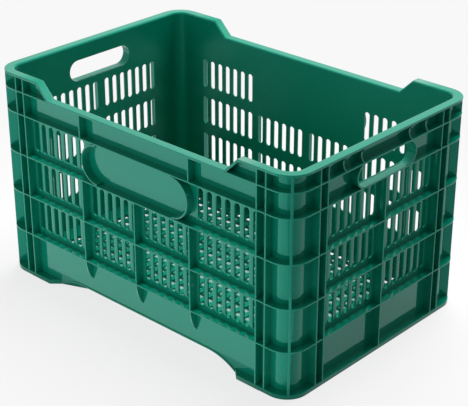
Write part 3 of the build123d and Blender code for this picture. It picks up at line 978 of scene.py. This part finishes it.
class CRATE_OT_floor(bpy.types.Operator):
    """Build the slotted floor plate and the ladder of ribs under it"""
    bl_idname = "crate.floor"
    bl_label = "Floor"

    def execute(self, context):
        sizes = context.scene.crate_sizes
        plan = Layout(sizes)
        self.plate(sizes, plan)
        self.ribs(sizes, plan)
        return {"FINISHED"}

    def lines(self, count, pitch, gap):
        """Both sides of every opening in an even row."""
        middles = [(k - (count - 1) / 2) * pitch for k in range(count)]
        return [middle + side * gap / 2 for middle in middles for side in (-1, 1)]

    def plate(self, sizes, plan):
        """Plate with rounded corners and slots running across the crate."""
        bm = bmesh.new()
        low, high = sizes.floor_under, sizes.floor_under + sizes.floor_thickness
        radius = sizes.corner_radius - plan.wall
        corner_x, corner_y = plan.floor_x - radius, plan.floor_y - radius
        slots = self.lines(sizes.floor_columns, 2 * plan.grid_x / sizes.floor_columns, sizes.floor_slot)
        xs = [-plan.floor_x, -corner_x, *slots, corner_x, plan.floor_x]
        ys = [-plan.floor_y, -corner_y, -plan.grid_y, plan.grid_y, corner_y, plan.floor_y]
        last_x, last_y = len(xs) - 2, len(ys) - 2

        def is_open(i, j):
            at_corner = i in (0, last_x) and j in (0, last_y)
            return at_corner or (j == 2 and i % 2 == 0 and 0 < i < last_x)

        add_lattice(bm, xs, ys, is_open, low, high)
        self.round_slots(bm, sizes, plan, high)
        for quarter in range(4):
            side_x = 1 if quarter in (0, 3) else -1
            side_y = 1 if quarter in (0, 1) else -1
            middle = (side_x * corner_x, side_y * corner_y)
            start = quarter * pi / 2
            outline = [middle, *arc(*middle, radius, start, start + pi / 2, 8)]
            pull(bm, add_face(bm, [(x, y, low) for x, y in outline]), (0, 0, high - low))
        finish_piece(bm, "floor_grid")
        bm.free()

    def round_slots(self, bm, sizes, plan, high):
        """Round the top edges of the slots."""
        edges = []
        for edge in bm.edges:
            a, b = (vert.co for vert in edge.verts)
            far_x, far_y = max(abs(a.x), abs(b.x)), max(abs(a.y), abs(b.y))
            inside = far_x < plan.grid_x and far_y < plan.grid_y + TINY
            if inside and min(a.z, b.z) > high - TINY and edge.calc_face_angle(0) > 1:
                edges.append(edge)
        soften(bm, edges, sizes.edge)

    def ribs(self, sizes, plan):
        """Ladder of lengthwise ribs between end bars."""
        bm = bmesh.new()
        pitch = 2 * plan.grid_y / sizes.floor_rows
        windows = self.lines(sizes.floor_rows, pitch, pitch - sizes.floor_rib)
        far_x, far_y = plan.grid_x + sizes.floor_rib_border, plan.grid_y + sizes.floor_rib_border
        xs = [-far_x, -plan.grid_x, plan.grid_x, far_x]
        ys = [-far_y, *windows, far_y]
        low, high = sizes.floor_under - sizes.floor_rib_drop, sizes.floor_under
        add_lattice(bm, xs, ys, lambda i, j: i == 1 and j % 2 == 1, low, high)
        finish_piece(bm, "floor_ribs")
        bm.free()


class CRATE_OT_stage(bpy.types.Operator):
    """Set up the camera, the pale floor and the soft studio light"""
    bl_idname = "crate.stage"
    bl_label = "Studio"

    def execute(self, context):
        scene = context.scene
        studio = scene.crate_studio
        scene.view_settings.view_transform = "Standard"
        self.camera(scene, studio)
        self.floor(scene, studio)
        self.world(scene, studio)
        middle = Vector((0, 0, cad_box[1].z / 2))
        top = self.soft_light(scene, "top", studio.top, (-0.35, 1.3, 2.2), (2.0, 1.8), middle)
        key = self.soft_light(scene, "key", studio.key, (-0.5, -2.5, 0.85), (1.8, 1.2), middle)
        top.visible_glossy = key.visible_glossy = False
        card = Vector((-0.22, -0.586, 0.004))
        self.soft_light(scene, "card", studio.card, card, (1.35, 0.80), card + Vector((0, 0, 1)))
        return {"FINISHED"}

    def camera(self, scene, studio):
        data = bpy.data.cameras.new("camera")
        data.sensor_width = 36
        data.lens = studio.lens
        camera = bpy.data.objects.new("camera", data)
        camera.location = studio.eye
        camera.rotation_euler = (studio.pitch, 0, studio.yaw)
        scene.collection.objects.link(camera)
        scene.camera = camera

    def floor(self, scene, studio):
        bm = bmesh.new()
        bmesh.ops.create_grid(bm, x_segments=1, y_segments=1, size=6)
        mesh = bpy.data.meshes.new("studio_floor")
        bm.to_mesh(mesh)
        bm.free()
        material = self.floor_material(studio)
        mesh.materials.append(material)
        floor = bpy.data.objects.new("studio_floor", mesh)
        scene.collection.objects.link(floor)

    def seen(self, paint):
        """One for rays from the camera, from gloss and through glass, which show white."""
        path = paint.node("ShaderNodeLightPath")
        rays = ("Is Camera Ray", "Is Glossy Ray", "Is Transmission Ray")
        camera, gloss, glass = (Sum(paint, path.outputs[name]) for name in rays)
        return camera.largest(gloss).largest(glass)

    def floor_material(self, studio):
        """White floor that keeps the crate's shadow and throws little light back at it, with painted
        shade and a painted green glow on the ground under the crate.
        """
        material = bpy.data.materials.new("studio_floor")
        paint = Paint(material)
        seen = self.seen(paint)
        where = paint.node("ShaderNodeTexCoord").outputs["Object"]
        # Painted shade: the ground is painted dimmer under the crate, up to a line a little inside its
        # walls
        line_x, line_y = cad_box[1].x - 0.06, cad_box[1].y - 0.07
        edge, shadow_reach = 0.045, 0.6
        distance = paint.past_rectangle(where, line_x, line_y)
        clear = paint.ramp(distance, 0.0, edge)
        out_of_painted_shade = studio.under + (1 - studio.under) * clear
        away = paint.ramp(distance, 0.0, shadow_reach)
        white = (*studio.white, 1)
        # Painted shade: under the crate the floor colour leans to the dark Floor grey and the white
        # share drops to Under
        colour = paint.node(
            "ShaderNodeMix", {"data_type": "RGBA"},
            {"Factor": seen * out_of_painted_shade, 6: (*studio.floor, 1), 7: white})
        lit = paint.node(
            "ShaderNodeBsdfPrincipled", None,
            {"Base Color": colour.outputs[2], "Roughness": 0.8, "Specular IOR Level": 0.0})
        # Painted glow: the emission is white beside the crate and the pale green Glow colour under it,
        # standing in for light the plastic throws on the ground
        shown = paint.node(
            "ShaderNodeMix", {"data_type": "RGBA"}, {"Factor": clear, 6: (*studio.painted_glow, 1), 7: white})
        white_and_painted_glow = paint.node("ShaderNodeEmission", None, {"Color": shown.outputs[2], "Strength": 1.0})
        share = seen * out_of_painted_shade * (1 - studio.shadow + studio.shadow * away)
        mixed = paint.node(
            "ShaderNodeMixShader", None, {0: share, 1: lit.outputs[0], 2: white_and_painted_glow.outputs[0]})
        paint.node("ShaderNodeOutputMaterial", None, {"Surface": mixed.outputs[0]})
        return material

    def world(self, scene, studio):
        world = bpy.data.worlds.new("studio")
        scene.world = world
        paint = Paint(world)
        strength = studio.ambient + (1 - studio.ambient) * self.seen(paint)
        background = paint.node(
            "ShaderNodeBackground", None, {"Color": (*studio.white, 1), "Strength": strength})
        paint.node("ShaderNodeOutputWorld", None, {"Surface": background.outputs[0]})

    def soft_light(self, scene, name, power, place, extent, target):
        """Rectangular soft light aimed at a point."""
        data = bpy.data.lights.new(name, "AREA")
        data.shape = "RECTANGLE"
        data.size, data.size_y = extent
        data.energy = power
        light = bpy.data.objects.new(name, data)
        light.location = place
        aim = target - Vector(place)
        light.rotation_euler = aim.to_track_quat("-Z", "Y").to_euler()
        scene.collection.objects.link(light)
        return light


class CRATE_PT_panel(bpy.types.Panel):
    """Crate builder"""
    bl_label = "Harvest crate"
    bl_idname = "CRATE_PT_panel"
    bl_space_type = "VIEW_3D"
    bl_region_type = "UI"
    bl_category = "Crate"

    def draw(self, context):
        for operator in OPERATORS:
            self.layout.operator(operator.bl_idname)
        for group in (context.scene.crate_sizes, context.scene.crate_finish, context.scene.crate_studio):
            box = self.layout.box()
            for name in group.__annotations__:
                box.prop(group, name)


OPERATORS = (
    CRATE_OT_grilles, CRATE_OT_label_frames, CRATE_OT_rims, CRATE_OT_hand_holes,
    CRATE_OT_skirts, CRATE_OT_posts, CRATE_OT_floor, CRATE_OT_stage)
GROUPS = (CrateSizes, CrateFinish, StudioSettings)


def register():
    for kind in (*GROUPS, *OPERATORS, CRATE_PT_panel):
        bpy.utils.register_class(kind)
    bpy.types.Scene.crate_sizes = PointerProperty(type=CrateSizes)
    bpy.types.Scene.crate_finish = PointerProperty(type=CrateFinish)
    bpy.types.Scene.crate_studio = PointerProperty(type=StudioSettings)


def unregister():
    del bpy.types.Scene.crate_studio
    del bpy.types.Scene.crate_finish
    del bpy.types.Scene.crate_sizes
    for kind in reversed((*GROUPS, *OPERATORS, CRATE_PT_panel)):
        bpy.utils.unregister_class(kind)


def main():
    register()
    bpy.ops.crate.grilles()
    bpy.ops.crate.label_frames()
    bpy.ops.crate.rims()
    bpy.ops.crate.hand_holes()
    bpy.ops.crate.skirts()
    bpy.ops.crate.posts()
    bpy.ops.crate.floor()
    bpy.ops.crate.stage()


if __name__ == "__main__":
    main()
